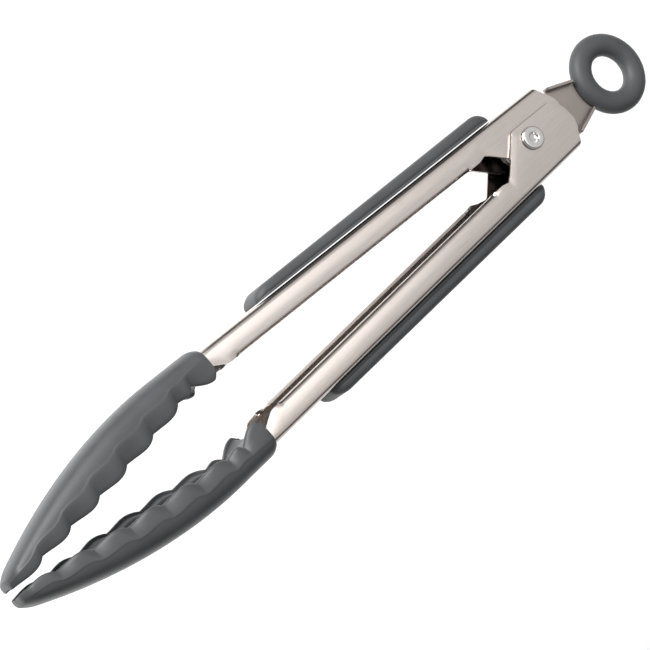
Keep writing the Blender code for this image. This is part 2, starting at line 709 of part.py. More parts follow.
def core_ring(x, grow):
    """The stiff core's section, or the space it needs when grown."""
    half_width = jaw_half_width(x) - SKIN - GAP
    top = core_top(x)
    under = top - CORE_THICKNESS
    edges = [min(edge + CORE_EDGE_INSET, under - LEAST_CORE_WALL) - grow for edge in jaw_edges(x)]
    wall = CORE_THICKNESS + 2 * grow
    return trough_ring(x, half_width + grow, top + grow, edges, wall, under - grow)


def make_core(name, material, parent):
    bm = bmesh.new()
    add_loft(bm, [core_ring(x, 0.0) for x in jaw_stations(CORE_START, CORE_END)])
    core = object_from(name, bm, material, parent)
    holes = bmesh.new()
    for x in CORE_RIVETS:
        below = CORE_TOP - 3 * CORE_THICKNESS
        add_post(holes, x, CORE_RIVET_RADIUS + GAP, below, CORE_TOP + CORE_THICKNESS)
    boolean(core, helper_from(name + "_holes", holes, parent))
    return core


def make_core_rivet(name, x, material, parent):
    """A flat-headed rivet through the arm's tongue and the core."""
    head = BACK + GAP
    levels = (
        (CORE_RIVET_RADIUS, CORE_TOP - CORE_THICKNESS),
        (CORE_RIVET_RADIUS, head),
        (CORE_RIVET_HEAD, head),
        (CORE_RIVET_HEAD, head + CORE_RIVET_RIM),
        (CORE_RIVET_HEAD - CORE_RIVET_CHAMFER, head + CORE_RIVET_HEAD_HEIGHT),
    )
    bm = bmesh.new()
    rows = [[(px, y, pz) for px, pz in circle((0.0, 0.0), radius, POST_SIDES)] for radius, y in levels]
    add_loft(bm, rows)
    rivet = object_from(name, bm, material, parent)
    rivet.location = (x, 0.0, 0.0)
    return rivet


# ---------------------------------------------------------------- assembly

def main():
    clear_scene()
    satin = make_material("satin_steel", (0.62, 0.58, 0.55), 0.32, 1.0)
    bright = make_material("bright_steel", (0.75, 0.74, 0.73), 0.18, 1.0)
    wire = make_material("spring_steel", (0.35, 0.34, 0.33), 0.3, 1.0)
    silicone = make_material("grey_silicone", (0.10, 0.105, 0.11), 0.55)
    nylon = make_material("core_nylon", (0.05, 0.05, 0.05), 0.5)

    arms = (
        ("outer", -1, OUTER_HALF_WIDTH, DEEP_WALL_EDGE),
        ("inner", 1, INNER_HALF_WIDTH, WALL_EDGE),
    )
    for label, side, half_width, lower_edge in arms:
        frame = hinge_frame(label + "_arm_hinge", side)
        make_arm(label + "_arm", half_width, lower_edge, satin, frame)
        grip_half_width = min(GRIP_HALF_WIDTH, half_width - GRIP_TO_ARM_EDGE)
        make_grip(label + "_grip_pad", grip_half_width, silicone, frame)
        make_jaw(label + "_jaw_skin", half_width, silicone, frame)
        make_core(label + "_jaw_core", nylon, frame)
        for number, x in enumerate(CORE_RIVETS, 1):
            make_core_rivet(f"{label}_core_rivet_{number}", x, bright, frame)
    make_pivot(bright)
    make_spring(wire)

    slide = bpy.data.objects.new("lock_slide", None)
    slide.location = (0.0, 0.0, PIVOT_HEIGHT)
    slide.rotation_euler = (0.0, 0.0, SLIDER_SWING)
    bpy.context.scene.collection.objects.link(slide)
    make_slider(satin, slide)
    make_ring(silicone, slide)
    bpy.context.view_layer.update()


main()
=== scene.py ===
"""The looks of the spring loaded kitchen tongs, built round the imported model.

The pieces of an arm are drawn in the arm's own frame: x runs from the pivot to the jaw tip, y points away
from the other arm, and z runs along the pivot. The record's frame has its origin on the pivot axis, in the
plane that the tongs lie on.
"""

import json
import math

import bmesh
import bpy
from mathutils import Matrix, Vector


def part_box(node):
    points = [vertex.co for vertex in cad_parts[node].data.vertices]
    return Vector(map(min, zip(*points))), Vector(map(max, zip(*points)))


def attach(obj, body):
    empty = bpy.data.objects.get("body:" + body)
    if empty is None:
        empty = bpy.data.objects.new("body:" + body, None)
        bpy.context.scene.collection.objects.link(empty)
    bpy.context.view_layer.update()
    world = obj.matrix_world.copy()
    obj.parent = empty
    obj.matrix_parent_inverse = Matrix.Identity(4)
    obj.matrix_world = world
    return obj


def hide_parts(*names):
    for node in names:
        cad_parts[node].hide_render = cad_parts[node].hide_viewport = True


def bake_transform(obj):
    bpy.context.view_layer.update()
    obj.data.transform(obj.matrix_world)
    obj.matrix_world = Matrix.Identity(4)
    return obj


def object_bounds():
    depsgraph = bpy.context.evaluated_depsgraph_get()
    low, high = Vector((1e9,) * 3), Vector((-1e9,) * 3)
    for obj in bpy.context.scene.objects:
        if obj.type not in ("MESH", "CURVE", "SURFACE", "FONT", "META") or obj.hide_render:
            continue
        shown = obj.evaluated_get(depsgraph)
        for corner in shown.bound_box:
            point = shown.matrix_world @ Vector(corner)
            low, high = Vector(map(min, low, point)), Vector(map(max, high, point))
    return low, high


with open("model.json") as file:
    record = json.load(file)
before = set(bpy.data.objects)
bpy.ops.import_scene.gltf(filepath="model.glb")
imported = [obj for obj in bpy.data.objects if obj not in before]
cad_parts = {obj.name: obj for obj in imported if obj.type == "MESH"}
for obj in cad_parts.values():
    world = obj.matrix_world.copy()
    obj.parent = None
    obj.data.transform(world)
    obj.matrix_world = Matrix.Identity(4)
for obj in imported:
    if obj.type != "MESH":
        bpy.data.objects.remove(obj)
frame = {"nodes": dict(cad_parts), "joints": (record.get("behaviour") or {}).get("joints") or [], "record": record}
CAD_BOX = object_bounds()

MM = 0.001
PIVOT = Vector(next(j["pos_m"] for j in frame["joints"] if j["name"] == "outer_arm_open"))
ARM_TILT = math.radians(2.24)  # each arm's angle to the middle plane when the tongs are shut
SIDES = {"outer": -1, "inner": 1}
GAP = 0.3 * MM

# Steel sheet
SHEET = 0.8 * MM
BACK_BEND = 1.8 * MM
LIP_BEND = 1.3 * MM
LIP_LENGTH = 1.2 * MM
WALL_EDGE = 3.6 * MM
DEEP_WALL_EDGE = 2.5 * MM
WALL_BOW = 0.14 * MM  # how far the middle of a side wall bulges
WALL_TAIL = 2.4 * MM
LEAST_WALL = 0.2 * MM  # straight wall left under the back's bend
BACK_BEND_STEPS = 12
WALL_STEPS = 4
LIP_BEND_STEPS = 10
LIP_SPAN = (21.5 * MM, 107.0 * MM)
LIP_RUN_OUT = 2.0 * MM
LIP_RUN_OUT_STEPS = 4
WALL_TAPER_START = 111.5 * MM
WALL_END = 118.0 * MM
WALL_STUB_EDGE = 6.9 * MM
TONGUE_START = 122.0 * MM
TONGUE_HALF_WIDTH = 5.2 * MM
TONGUE_END_LENGTH = 2 * MM
TONGUE_END_NARROWING = 1.6 * MM
EAR_CENTRE = (-6.6 * MM, 2.0 * MM)
EAR_RADIUS = 7.9 * MM
EAR_START = 4  # degrees round the ear, from its far end towards the free edge
EAR_STEP = 2.5
EAR_POINTS = 19
EAR_END_SPAN = (136, 184)
EAR_END_STEPS = 24
BACK_END = -10.6 * MM
EAR_BOTTOM = -5.0 * MM
EAR_FRONT = 3.3 * MM
NOTCH_CORNER = (13.4 * MM, 3.6 * MM)
NOTCH_CREST = (14.4 * MM, 4.3 * MM)
NOTCH_END = 16.8 * MM
CORNER_ROUND = 0.7 * MM
CORNER_STEPS = 5
ARM_STATIONS = 24
ARM_EDGE_ROUND = 0.2 * MM
STUDS = (20.0 * MM, 52.0 * MM, 84.0 * MM)
STUD_RADIUS = 1.8 * MM
CORE_RIVETS = (127.5 * MM, 135.0 * MM)
CORE_RIVET_RADIUS = 1.1 * MM
RIVET_RADIUS = 1.5 * MM
RIVET_SIDES = 48
POST_SIDES = 32

# Jaws
CROWN_FALL_START = 130.0 * MM
CROWN_FALL = 0.0052  # mm of fall for each mm of run, raised to the power below
CROWN_FALL_POWER = 1.93
CROWN_SHARPNESS = 0.62  # 1 is an ellipse, and lower is boxier
FLOOR_SHARPNESS = 0.7
FIRST_VALLEY = 124.5 * MM
SECOND_VALLEY = 130.0 * MM
LOBE_PITCH = 10.6 * MM
LOBE_DEPTH = 1.15 * MM
LOBE_POWER = 0.85
LOBE_SKEW = 0.64  # below 1 puts a lobe's lowest point nearer the pivot
VALLEY_EDGE = 4.6 * MM
VALLEY_SLOPE = 0.17
CUFF_LOBE = 3.9 * MM
CUFF_LOBE_POWER = 1.1
CUFF_RISE = 6.8 * MM
CUFF_CORNER = 0.3  # how much of the lobe its rounded corner takes away
CUFF_CORNER_SPAN = (116.7 * MM, 118.4 * MM)
WALL_OFFSET = 1.0 * MM
WALL_OFFSET_RISE = (118.0 * MM, 140.0 * MM)
WALL_OFFSET_FALL = (156.0 * MM, 188.0 * MM)
JAW_TAPER_START = 140.0 * MM
JAW_TIP_HALF_WIDTH = 5.8 * MM
CUFF_ROUND = 0.7 * MM
CUFF_ROUND_LENGTH = 2.0 * MM
TIP_ROUND = 2.4 * MM
TIP_ROUND_LENGTH = 4.0 * MM
HEIGHT_SHARE = 0.3
JAW_RINGS = 230
JAW_STEPS = 120
JAW_WALL = 3.8 * MM
EDGE_WALL = 1.7 * MM  # the wall's thickness at its free edge
EDGE_WALL_SPAN = (0.3 * MM, 2.0 * MM)  # above the free edge, where the wall thickens
EDGE_ROUND_STEPS = 6
EDGE_ROUND_SHARE = 0.35  # the rounded free edge's height, as a share of a half circle's
SEAM_STEP = 0.12 * MM  # how far the wall under the seam stands out
SEAM_SHARE = 0.46  # its height between the free edge and the crown
SEAM_WAVE = 0.7 * MM
SEAM_HALF_HEIGHT = 0.12 * MM
LEAST_SEAM = 0.1 * MM
WALL_LEAN = 0.5 * MM  # how far the free edge stands in from the widest point
VALLEY_LEAN = 1.0 * MM  # how much further it is pinched in at a valley
LEAN_POWER = 1.2
LEAN_RUN_IN = 2 * MM  # from the cuff's mouth
PINCH_FADE = (16 * MM, 4 * MM)  # before the tip
TROUGH_FADE = (10 * MM, 4 * MM)  # before the tip
LEAST_TROUGH = 0.15 * MM
LEAST_TROUGH_HALF_WIDTH = 2.2 * MM
CORE_TOP = 9.5 * MM
CORE_COVER = 1.3 * MM  # silicone and clearance over the core
CORE_TO_FLOOR = 2.5 * MM  # from the core's top down to the trough's bottom
CUFF_FLOOR = 4.9 * MM
CUFF_FLOOR_SPAN = (122.5 * MM, 127.5 * MM)

# Grip pads
GRIP_RINGS = 110
GRIP_END_RADIUS = 5.0 * MM
GRIP_END_RISE = 0.05  # the end face's height, as a share of the pad's
GRIP_END_NARROWING = 2.6 * MM
GRIP_FALL = 0.6 * MM
GRIP_CORNER = 1.9 * MM
GRIP_CORNER_SHARE = 0.75
GRIP_CORNER_STEPS = 10
GRIP_FLAT_SHARE = 0.4
GRIP_GROOVE = 0.16 * MM
GRIP_GROOVE_FULL = 2 * MM  # the groove is shallower on a pad lower than this
GRIP_FOOT_SHARE = 0.22

# Pivot rivet
HEAD_HEIGHT = 1.0 * MM
HEAD_ROUND = 0.4 * MM
HEAD_ROUND_STEPS = 7
DIMPLE_RADIUS = 1.35 * MM
DIMPLE_DEPTH = 0.7 * MM
DIMPLE_FLOOR = (1.0 * MM, 1.08 * MM)
DIMPLE_FILLET = 0.03 * MM
DIMPLE_SHOULDER = 0.24 * MM
DIMPLE_ROUND = 0.2 * MM
DIMPLE_ROUND_INSET = 0.22 * MM
DIMPLE_ROUND_STEPS = 5
SPIN_STEPS = 96

# Pull ring and slider
RING_CENTRE = 37.2 * MM
RING_MAJOR = 8.5 * MM
RING_SECTION = (3.2 * MM, 2.8 * MM)
RING_TIP = math.radians(3.5)
RING_STEPS = 128
RING_SIDES = 40
SLIT_HALF_WIDTHS = (6.1 * MM, 4.8 * MM, 3.5 * MM)  # from outside the ring to the slit's end
SLIT_INSETS = (2 * MM, 0.9 * MM)
SLIT_CLEARANCE = 0.12 * MM
SLIDER_SWING = math.radians(-1.1)
SLIDER_EDGE_ROUND = 0.12 * MM

# Torsion spring
WIRE_RADIUS = 0.5 * MM
WIRE_SIDES = 16
COIL_RADIUS = 3.7 * MM
COIL_TURNS = 3.5
COIL_PITCH = 1.1 * MM
COIL_START = -1.25 * MM
COIL_STEPS = 70  # in each half
LEG_REACH = 30.0 * MM
LEG_STEPS = 12

# Camera: the view of the object from the pivot's height
VIEW_TURNS = (0.0386, 0.4841, 0.7029)  # about X, Y and Z, in the order Y, X, Z
VIEW_SHIFT = (0.05243, 0.04778, -0.8985)
SENSOR = 36.0
LENS = 184.615
CLIP = (0.05, 50.0)

# Materials
NOISE_SPAN = (0.3, 0.7)  # the values that most of a noise lies between
NOISE_ROUGHNESS = 0.55
PAINTED_SHADE_REACH = 8 * MM  # painted shade: surfaces nearer than this to another one are given a darker colour
# painted shade on the steel reaches this far
STEEL_PAINTED_SHADE_REACH = 11 * MM

# Stage and lights. A light is its offset in the camera's frame, its size and its power.
FLOOR_SIZE = 5.0
FLOOR_DROP = 0.25  # far enough below for the shadow to fade out
KEY_LIGHT = ((-0.55, 0.75, 0.9), 0.8, 25.0)
SOFTBOX = ((0.46, 0.50, 0.76), 0.45, 0.85)

# The studio: dark walls up to the horizon's height, then a pale ceiling
HORIZON = (0.30, 0.66)
DARK_WALL = (0.05, 0.05, 0.05)
CEILING = (0.61, 0.605, 0.60)


# ---------------------------------------------------------------- frames and sizes

def arm_frame(side):
    cosine = math.cos(ARM_TILT)
    sine = math.sin(ARM_TILT)
    turn = Matrix(((-cosine, sine, 0.0), (side * sine, side * cosine, 0.0), (0.0, 0.0, -side)))
    return Matrix.Translation(PIVOT) @ turn.to_4x4()


def local_box(node, side):
    """A CAD node's lowest and highest corner in its arm's own frame."""
    to_arm = arm_frame(side).inverted()
    points = [to_arm @ vertex.co for vertex in frame["nodes"][node].data.vertices]
    low = Vector([min(p[i] for p in points) for i in range(3)])
    high = Vector([max(p[i] for p in points) for i in range(3)])
    return low, high


# ---------------------------------------------------------------- materials

class Nodes:
    """A Principled material and short ways to add nodes to it."""

    def __init__(self, name):
        self.material = bpy.data.materials.new(name)
        self.material.use_nodes = True
        self.tree = self.material.node_tree
        self.shader = self.tree.nodes["Principled BSDF"]

    def add(self, kind, **settings):
        node = self.tree.nodes.new(kind)
        for key, value in settings.items():
            setattr(node, key, value)
        return node

    def link(self, source, target):
        self.tree.links.new(source, target)

    def place(self, scale):
        """Object coordinates, stretched by scale."""
        coordinates = self.add("ShaderNodeTexCoord")
        mapping = self.add("ShaderNodeMapping")
        mapping.inputs["Scale"].default_value = scale
        self.link(coordinates.outputs["Object"], mapping.inputs["Vector"])
        return mapping.outputs["Vector"]

    def noise(self, scale, detail=3.0):
        noise = self.add("ShaderNodeTexNoise")
        noise.inputs["Scale"].default_value = 1.0
        noise.inputs["Detail"].default_value = detail
        noise.inputs["Roughness"].default_value = NOISE_ROUGHNESS
        self.link(self.place(scale), noise.inputs["Vector"])
        return noise.outputs["Fac"]

    def noise_ramp(self, factor, low, high):
        """low's colour where the noise is low, and high's where it is high."""
        return self.ramp(factor, ((NOISE_SPAN[0], low), (NOISE_SPAN[1], high)))

    def ramp(self, factor, stops):
        """stops are two pairs of a position and a colour."""
        ramp = self.add("ShaderNodeValToRGB")
        elements = ramp.color_ramp.elements
        for element, (position, colour) in zip(elements, stops):
            element.position = position
            element.color = (*colour, 1.0)
        self.link(factor, ramp.inputs["Fac"])
        return ramp.outputs["Color"]

    def range(self, factor, low, high):
        span = self.add("ShaderNodeMapRange")
        span.inputs["From Min"].default_value = NOISE_SPAN[0]
        span.inputs["From Max"].default_value = NOISE_SPAN[1]
        span.inputs["To Min"].default_value = low
        span.inputs["To Max"].default_value = high
        self.link(factor, span.inputs["Value"])
        return span.outputs["Result"]

    def painted_recess_shade(self, colour, reach, stops):
        """colour with painted shade, darker in recesses: reach is how near another surface must be to count."""
        occlusion = self.add("ShaderNodeAmbientOcclusion", samples=8)
        occlusion.inputs["Distance"].default_value = reach
        mix = self.add("ShaderNodeMix", data_type="RGBA", blend_type="MULTIPLY")
        mix.inputs["Factor"].default_value = 1.0
        self.link(colour, mix.inputs["A"])
        self.link(self.ramp(occlusion.outputs["AO"], stops), mix.inputs["B"])
        return mix.outputs["Result"]

    def bump(self, height, strength, distance, below=None):
        bump = self.add("ShaderNodeBump")
        bump.inputs["Strength"].default_value = strength
        bump.inputs["Distance"].default_value = distance
        self.link(height, bump.inputs["Height"])
        if below:
            self.link(below, bump.inputs["Normal"])
        return bump.outputs["Normal"]


def steel(name, colour, roughness, grain, anisotropy=0.0, strength=0.03):
    """Brushed metal: grain is the noise scale along x, y and z, low along the brushing."""
    made = Nodes(name)
    shader = made.shader
    shader.inputs["Metallic"].default_value = 1.0
    shader.inputs["Anisotropic"].default_value = anisotropy
    lines = made.noise(grain, detail=4.0)
    cloud = made.noise((60.0, 60.0, 60.0), detail=2.0)
    darker = tuple(0.95 * c for c in colour)
    lighter = tuple(min(1.04 * c, 1.0) for c in colour)
    mix = made.add("ShaderNodeMix", data_type="RGBA", blend_type="MULTIPLY")
    mix.inputs["Factor"].default_value = 0.5
    made.link(made.noise_ramp(lines, darker, lighter), mix.inputs["A"])
    made.link(made.noise_ramp(cloud, (0.94, 0.93, 0.92), (1.0, 1.0, 1.0)), mix.inputs["B"])
    # Painted shade: the colour is multiplied down to near black where another surface is near, in recesses and in
    # the gaps between the plates.
    stops = ((0.30, (0.01, 0.01, 0.01)), (0.66, (1.0, 1.0, 1.0)))
    made.link(made.painted_recess_shade(mix.outputs["Result"], STEEL_PAINTED_SHADE_REACH, stops), shader.inputs["Base Color"])
    made.link(made.range(lines, roughness - 0.02, roughness + 0.03), shader.inputs["Roughness"])
    made.link(made.bump(lines, strength, 0.02 * MM), shader.inputs["Normal"])
    return made.material


def silicone(name, colour, roughness=0.5):
    """Moulded silicone: a fine matt skin, faint cloudiness, a faint sheen and painted shade that darkens its
    recesses.
    """
    made = Nodes(name)
    shader = made.shader
    shader.inputs["Specular IOR Level"].default_value = 0.42
    shader.inputs["Sheen Weight"].default_value = 0.12
    shader.inputs["Sheen Roughness"].default_value = 0.5
    cloud = made.noise((90.0, 90.0, 90.0), detail=4.0)
    skin = made.noise((5200.0, 5200.0, 5200.0), detail=2.0)
    darker = tuple(0.88 * c for c in colour)
    lighter = tuple(1.12 * c for c in colour)
    tint = made.noise_ramp(cloud, darker, lighter)
    # Painted shade: the colour is multiplied down to a quarter in recesses, where another surface is near.
    stops = ((0.10, (0.25, 0.25, 0.25)), (0.75, (1.0, 1.0, 1.0)))
    made.link(made.painted_recess_shade(tint, PAINTED_SHADE_REACH, stops), shader.inputs["Base Color"])
    made.link(made.range(cloud, roughness - 0.05, roughness + 0.06), shader.inputs["Roughness"])
    soft = made.bump(cloud, 0.15, 0.15 * MM)
    made.link(made.bump(skin, 0.14, 0.02 * MM, soft), shader.inputs["Normal"])
    return made.material


def make_materials():
    satin = (0.75, 0.685, 0.645)
    return {
        "satin_steel": steel("satin_steel_brushed", satin, 0.22, (150.0, 6500.0, 6500.0), 0.2),
        # Painted shade: the tab's steel is darker and browner than the arms', standing in for the shadow on the
        # slider's floor between its flanges; its grain across the tab is its brushing.
        "tab_steel": steel("tab_steel_brushed", (0.44, 0.39, 0.365), 0.33, (5200.0, 90.0, 5200.0), 0.3, 0.12),
        "bright_steel": steel("bright_steel_polished", (0.86, 0.85, 0.84), 0.14, (900.0, 900.0, 900.0)),
        "spring_steel": steel("spring_steel_drawn", (0.35, 0.34, 0.33), 0.25, (2500.0, 2500.0, 2500.0)),
        "jaw_silicone": silicone("jaw_silicone_matt", (0.056, 0.060, 0.064), 0.42),
        "grip_silicone": silicone("grip_silicone_matt", (0.055, 0.058, 0.061)),
        "ring_silicone": silicone("ring_silicone_matt", (0.055, 0.058, 0.061)),
        "core_nylon": silicone("core_nylon_moulded", (0.030, 0.030, 0.030), 0.45),
    }


# ---------------------------------------------------------------- mesh helpers

def object_from(name, bm, material, smooth_angle=40):
    bmesh.ops.remove_doubles(bm, verts=bm.verts, dist=1e-7)
    bmesh.ops.recalc_face_normals(bm, faces=bm.faces)
    mesh = bpy.data.meshes.new(name)
    bm.to_mesh(mesh)
    bm.free()
    mesh.shade_smooth()
    mesh.set_sharp_from_angle(angle=math.radians(smooth_angle))
    if material:
        mesh.materials.append(material)
    obj = bpy.data.objects.new(name, mesh)
    bpy.context.scene.collection.objects.link(obj)
    return obj


def loft(bm, rings):
    """A closed body through rings of equally many points."""
    rows = [[bm.verts.new(point) for point in ring] for ring in rings]
    count = len(rings[0])
    for first, second in zip(rows, rows[1:]):
        for i in range(count):
            j = (i + 1) % count
            bm.faces.new((first[i], first[j], second[j], second[i]))
    bm.faces.new(rows[0])
    bm.faces.new(rows[-1])


def arc(centre, radius, start, end, steps):
    turns = [math.radians(start + (end - start) * i / steps) for i in range(steps + 1)]
    return [(centre[0] + radius * math.cos(t), centre[1] + radius * math.sin(t)) for t in turns]


def circle(centre, radius, sides):
    return arc(centre, radius, 0, 360, sides)[:-1]


def prism(bm, outline, low, high):
    loft(bm, [[(x, y, z) for x, y in outline] for z in (low, high)])


def post(bm, x, radius, low, high):
    """A round post along y."""
    rim = circle((x, 0.0), radius, POST_SIDES)
    loft(bm, [[(px, y, pz) for px, pz in rim] for y in (low, high)])


def smoothstep(value, low, high):
    share = min(max((value - low) / (high - low), 0.0), 1.0)
    return share * share * (3 - 2 * share)


def cut(obj, bm):
    """Takes a cutter away from obj and removes the cutter."""
    tool = object_from(obj.name + "_cutter", bm, None)
    tool.matrix_world = obj.matrix_world
    modifier = obj.modifiers.new("boolean", "BOOLEAN")
    modifier.object = tool
    modifier.operation = "DIFFERENCE"
    modifier.solver = "MANIFOLD"
    bake(obj)
    bpy.data.objects.remove(tool, do_unlink=True)


def bake(obj):
    """Applies obj's modifiers to its mesh."""
    bpy.context.view_layer.update()
    evaluated = obj.evaluated_get(bpy.context.evaluated_depsgraph_get())
    mesh = bpy.data.meshes.new_from_object(evaluated)
    obj.modifiers.clear()
    obj.data = mesh


def round_edges(obj, width, segments=2, angle=35):
    """Rounds the hard edges, and keeps the faces between them flat to the eye."""
    bevel = obj.modifiers.new("rounded_edges", "BEVEL")
    bevel.width = width
    bevel.segments = segments
    bevel.limit_method = "ANGLE"
    bevel.angle_limit = math.radians(angle)
    bevel.use_clamp_overlap = True
    bake(obj)
    obj.data.shade_smooth()
    obj.data.set_sharp_from_angle(angle=math.radians(angle))
    weighted = obj.modifiers.new("weighted_normals", "WEIGHTED_NORMAL")
    weighted.keep_sharp = True
    bake(obj)


def settle(obj, side, body, node):
    """Puts an arm's piece in place, ties it to its body and hides the CAD node that it stands in for."""
    obj.matrix_world = arm_frame(side)
    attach(obj, body)
    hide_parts(node)


# ---------------------------------------------------------------- steel arms

def rounded_polyline(points, radius):
    """The polyline with each inner corner turned into a short curve."""
    made = [points[0]]
    for before, corner, after in zip(points, points[1:], points[2:]):
        corner = Vector(corner)
        back = Vector(before) - corner
        ahead = Vector(after) - corner
        reach = min(radius, 0.45 * back.length, 0.45 * ahead.length)
        start = corner + back.normalized() * reach
        end = corner + ahead.normalized() * reach
        for i in range(CORNER_STEPS + 1):
            t = i / CORNER_STEPS
            made.append(tuple(start * (1 - t) ** 2 + corner * 2 * t * (1 - t) + end * t ** 2))
    made.append(points[-1])
    return made


def bowed(y, back, wall_edge):
    """The wall's bulge at height y: none at the bends."""
    share = (y - wall_edge) / (back - wall_edge)
    return WALL_BOW * max(math.sin(math.pi * min(max(share, 0.0), 1.0)), 0.0)


def channel_path(half_width, back, wall_edge, lip):
    """Half of the sheet's middle line across the arm: (z, y) points from the back's centre to the edge."""
    half_sheet = SHEET / 2
    path = [(0.0, back - half_sheet), (half_width * 0.5, back - half_sheet)]
    path += arc((half_width - BACK_BEND, back - BACK_BEND), BACK_BEND - half_sheet, 90, 0, BACK_BEND_STEPS)
    bend_end = back - BACK_BEND
    tail_top = min(wall_edge + WALL_TAIL, bend_end - LEAST_WALL)
    for i in range(1, WALL_STEPS + 1):
        path.append((half_width - half_sheet, bend_end + (tail_top - bend_end) * i / WALL_STEPS))
    bend_centre = (half_width - LIP_BEND, wall_edge + LIP_BEND)
    bent = arc(bend_centre, LIP_BEND - half_sheet, 0, -90, LIP_BEND_STEPS)
    bent.append((half_width - LIP_BEND - LIP_LENGTH, wall_edge + half_sheet))
    for i, (z, y) in enumerate(bent):
        share = (i + 1) / len(bent)
        straight_y = tail_top + (wall_edge - tail_top) * share
        straight_z = half_width - half_sheet
        path.append((straight_z + (z - straight_z) * lip, straight_y + (y - straight_y) * lip))
    return [(z + bowed(y, back, wall_edge) * (z > 0.9 * half_width), y) for z, y in path]


def sheet_ring(x, half_path, other_half=None):
    """A closed ring round the sheet at x, half a sheet either side of its middle line."""
    whole = [(-z, y) for z, y in reversed((other_half or half_path)[1:])] + half_path
    outside = []
    inside = []
    for i, (z, y) in enumerate(whole):
        before = whole[max(i - 1, 0)]
        after = whole[min(i + 1, len(whole) - 1)]
        along = Vector((after[0] - before[0], after[1] - before[1])).normalized()
        normal = Vector((-along.y, along.x)) * SHEET / 2
        outside.append((x, y + normal.y, z + normal.x))
        inside.append((x, y - normal.y, z - normal.x))
    return outside + inside[::-1]


def arm_edge():
    """(x, lowest y) along the arm's free edge: round ear, notch, straight wall and its slanting end."""
    degrees = [EAR_START + EAR_STEP * i for i in range(EAR_POINTS)]
    ear = []
    for turn in map(math.radians, degrees):
        ear.append((EAR_CENTRE[0] - EAR_RADIUS * math.cos(turn), EAR_CENTRE[1] - EAR_RADIUS * math.sin(turn)))
    corners = [ear[-1], (EAR_FRONT, EAR_BOTTOM), NOTCH_CORNER, NOTCH_CREST, (NOTCH_END, WALL_EDGE)]
    corners += [(WALL_TAPER_START, WALL_EDGE), (WALL_END, WALL_STUB_EDGE)]
    return ear[:-1] + rounded_polyline(corners, CORNER_ROUND)


def make_arm(label, side, materials):
    node = label + "_arm"
    high = local_box(node, side)[1]
    half_width = high.z
    back = high.y
    stations = arm_edge()
    for i in range(1, ARM_STATIONS):
        x = NOTCH_END + (WALL_TAPER_START - NOTCH_END) * i / ARM_STATIONS
        stations.append((x, WALL_EDGE))
    for end in LIP_SPAN:
        run_out = range(-LIP_RUN_OUT_STEPS, LIP_RUN_OUT_STEPS + 1)
        stations += [(end + LIP_RUN_OUT * i / LIP_RUN_OUT_STEPS, WALL_EDGE) for i in run_out]
    stations = sorted(set(stations))
    deeper = WALL_EDGE - DEEP_WALL_EDGE if label == "outer" else 0.0
    rings = []
    for x, edge in stations:
        into = smoothstep(x, LIP_SPAN[0] - LIP_RUN_OUT, LIP_SPAN[0])
        out = smoothstep(x, LIP_SPAN[1], LIP_SPAN[1] + LIP_RUN_OUT)
        lip = into * (1 - out)
        dip = deeper * smoothstep(x, NOTCH_END, LIP_SPAN[0] - LIP_RUN_OUT)
        dip *= 1 - smoothstep(x, WALL_TAPER_START, WALL_END)
        upper = channel_path(half_width, back, edge, lip)
        rings.append(sheet_ring(x, upper, channel_path(half_width, back, edge - dip, lip)))
    count = len(channel_path(half_width, back, WALL_EDGE, 0.0))
    tongue = [(TONGUE_START, TONGUE_HALF_WIDTH), (high.x - TONGUE_END_LENGTH, TONGUE_HALF_WIDTH)]
    tongue.append((high.x, TONGUE_HALF_WIDTH - TONGUE_END_NARROWING))
    for x, width in tongue:
        flat = [(width * i / (count - 1), back - SHEET / 2) for i in range(count)]
        rings.append(sheet_ring(x, flat))
    bm = bmesh.new()
    loft(bm, rings)
    arm = object_from(label + "_arm_steel", bm, materials["satin_steel"])

    cutter = bmesh.new()
    past = EAR_CENTRE[0] - 2 * EAR_RADIUS
    round_end = arc(EAR_CENTRE, EAR_RADIUS, *EAR_END_SPAN, EAR_END_STEPS)
    outline = [(BACK_END, 2 * back), (BACK_END, back), *round_end, (past, round_end[-1][1]), (past, 2 * back)]
    prism(cutter, outline, -2 * half_width, 2 * half_width)
    prism(cutter, circle((0.0, 0.0), RIVET_RADIUS + GAP, RIVET_SIDES), -2 * half_width, 2 * half_width)
    for x in STUDS:
        post(cutter, x, STUD_RADIUS + GAP, back - 2 * SHEET, back + SHEET)
    for x in CORE_RIVETS:
        post(cutter, x, CORE_RIVET_RADIUS + GAP, back - 2 * SHEET, back + SHEET)
    cut(arm, cutter)
    round_edges(arm, ARM_EDGE_ROUND, segments=3, angle=50)
    settle(arm, side, label + "_arm", node)


# ---------------------------------------------------------------- jaws

def jaw_crown(x, top):
    fall = max(x - CROWN_FALL_START, 0.0) / MM
    return top - CROWN_FALL * fall ** CROWN_FALL_POWER * MM


def lobe_share(x):
    """0 at a valley of the free edge and 1 at the lowest point of a lobe."""
    if x < FIRST_VALLEY:
        rise = math.sin(math.pi / 2 * min((FIRST_VALLEY - x) / CUFF_RISE, 1.0)) ** CUFF_LOBE_POWER
        return rise * (1 - CUFF_CORNER * (1 - smoothstep(x, *CUFF_CORNER_SPAN)))
    if x < SECOND_VALLEY:
        share = (x - FIRST_VALLEY) / (SECOND_VALLEY - FIRST_VALLEY)
    else:
        share = (x - SECOND_VALLEY) / LOBE_PITCH % 1.0
    return abs(math.sin(math.pi * share ** LOBE_SKEW)) ** LOBE_POWER


def wave(x):
    """The same as lobe_share, but smooth at the valleys."""
    if x < FIRST_VALLEY:
        return lobe_share(x)
    if x < SECOND_VALLEY:
        share = (x - FIRST_VALLEY) / (SECOND_VALLEY - FIRST_VALLEY)
    else:
        share = (x - SECOND_VALLEY) / LOBE_PITCH % 1.0
    return 0.5 - 0.5 * math.cos(2 * math.pi * share ** LOBE_SKEW)


